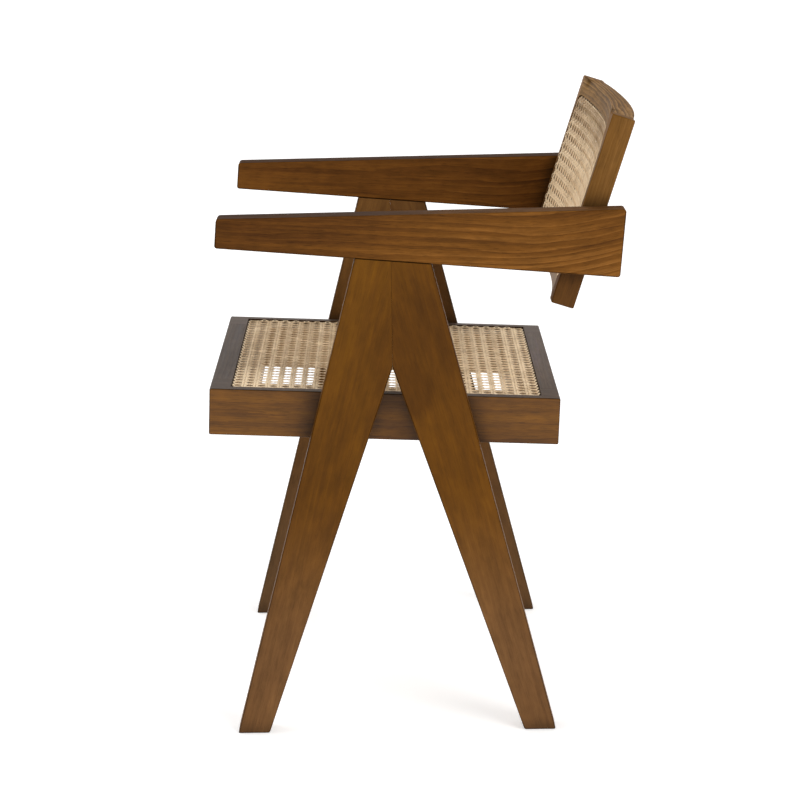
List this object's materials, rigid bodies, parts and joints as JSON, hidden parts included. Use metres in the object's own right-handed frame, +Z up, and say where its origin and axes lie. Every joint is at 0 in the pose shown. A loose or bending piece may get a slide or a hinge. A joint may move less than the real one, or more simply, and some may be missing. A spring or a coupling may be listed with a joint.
{
  "type": "office chair",
  "caption": "Rigid teak armchair with compass legs, tapering arms, a tilted caned seat box and a bowed caned back that leans between the arms.",
  "frame": {"origin": "on the floor, under the middle of the chair's box", "axes": "+Z up, the sitter faces -Y, +X to the sitter's left"},
  "size_m": [0.52, 0.5563, 0.7994],
  "materials": {
    "leg_teak": "satin lacquer over brown stain",
    "arm_teak": "satin lacquer over brown stain",
    "rail_teak": "satin lacquer over brown stain",
    "back_teak": "satin lacquer over brown stain",
    "woven_cane": "natural cane, slight sheen",
    "dowel_beech": "bare wood",
    "screw_steel": "dark zinc"
  },
  "bodies": {
    "root": {"left_front_leg": "leg_teak", "left_rear_leg": "leg_teak", "right_front_leg": "leg_teak", "right_rear_leg": "leg_teak", "left_arm": "arm_teak", "right_arm": "arm_teak", "seat_left_rail": "rail_teak", "seat_right_rail": "rail_teak", "seat_front_rail": "rail_teak", "seat_rear_rail": "rail_teak", "seat_cane": "woven_cane", "back_left_stile": "back_teak", "back_right_stile": "back_teak", "back_top_rail": "back_teak", "back_bottom_rail": "back_teak", "back_front_cane": "woven_cane", "back_rear_cane": "woven_cane", "left_lower_seam_dowel": "dowel_beech", "left_upper_seam_dowel": "dowel_beech", "right_lower_seam_dowel": "dowel_beech", "right_upper_seam_dowel": "dowel_beech", "left_front_arm_dowel": "dowel_beech", "left_rear_arm_dowel": "dowel_beech", "right_front_arm_dowel": "dowel_beech", "right_rear_arm_dowel": "dowel_beech", "left_lower_back_dowel": "dowel_beech", "left_upper_back_dowel": "dowel_beech", "right_lower_back_dowel": "dowel_beech", "right_upper_back_dowel": "dowel_beech", "left_front_outer_seat_screw": "screw_steel", "left_front_inner_seat_screw": "screw_steel", "left_rear_outer_seat_screw": "screw_steel", "left_rear_inner_seat_screw": "screw_steel", "right_front_outer_seat_screw": "screw_steel", "right_front_inner_seat_screw": "screw_steel", "right_rear_outer_seat_screw": "screw_steel", "right_rear_inner_seat_screw": "screw_steel"}
  },
  "joints": []
}
